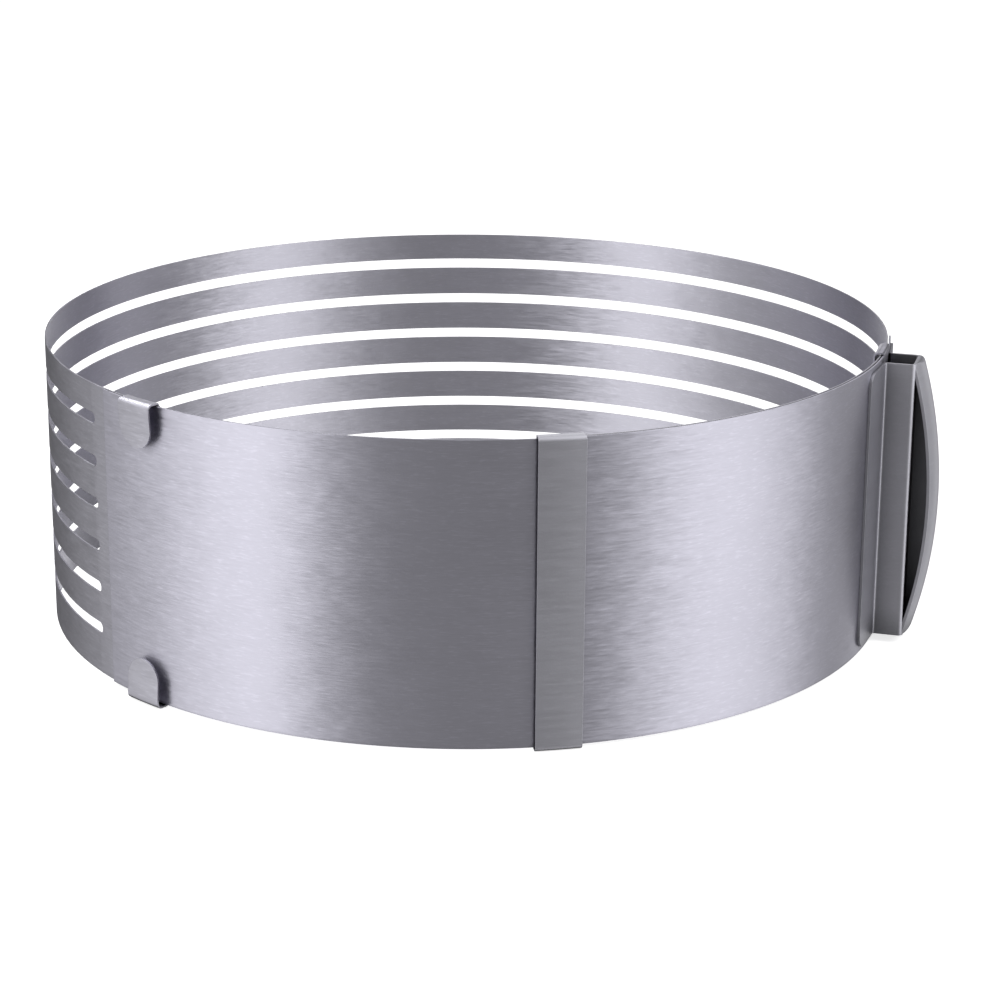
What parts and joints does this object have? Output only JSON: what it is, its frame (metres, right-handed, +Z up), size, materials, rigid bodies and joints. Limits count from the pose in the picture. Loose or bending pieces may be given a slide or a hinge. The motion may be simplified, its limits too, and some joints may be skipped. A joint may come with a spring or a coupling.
{
  "type": "adjustable cake leveler ring",
  "caption": "Open stainless steel ring of two sliding bands, with slots that guide a knife through a cake in level layers, and an outer grip to set the diameter.",
  "frame": {"origin": "on the ring's axis, level with the lowest folds, which is the surface that the ring stands on", "axes": "+Z up along the ring's axis, +X from the axis through the middle of the grip"},
  "size_m": [0.2674, 0.2508, 0.0866],
  "materials": {
    "slotted_band": "satin stainless sheet, fine brushing along the band",
    "plain_band": "satin stainless sheet, fine brushing along the band",
    "strap": "dull stainless strip, bright at its folds",
    "grip": "satin stainless pressing, brighter along its bends"
  },
  "bodies": {
    "inner_ring": {"slotted_band": "slotted_band", "strap": "strap"},
    "outer_ring": {"plain_band": "plain_band", "grip": "grip"}
  },
  "joints": [
    {"name": "band_slide", "type": "hinge", "parent": "inner_ring", "child": "outer_ring", "pos_m": [0, 0, 0], "axis": [0, 0, 1], "range_deg": [-48, 4]}
  ]
}
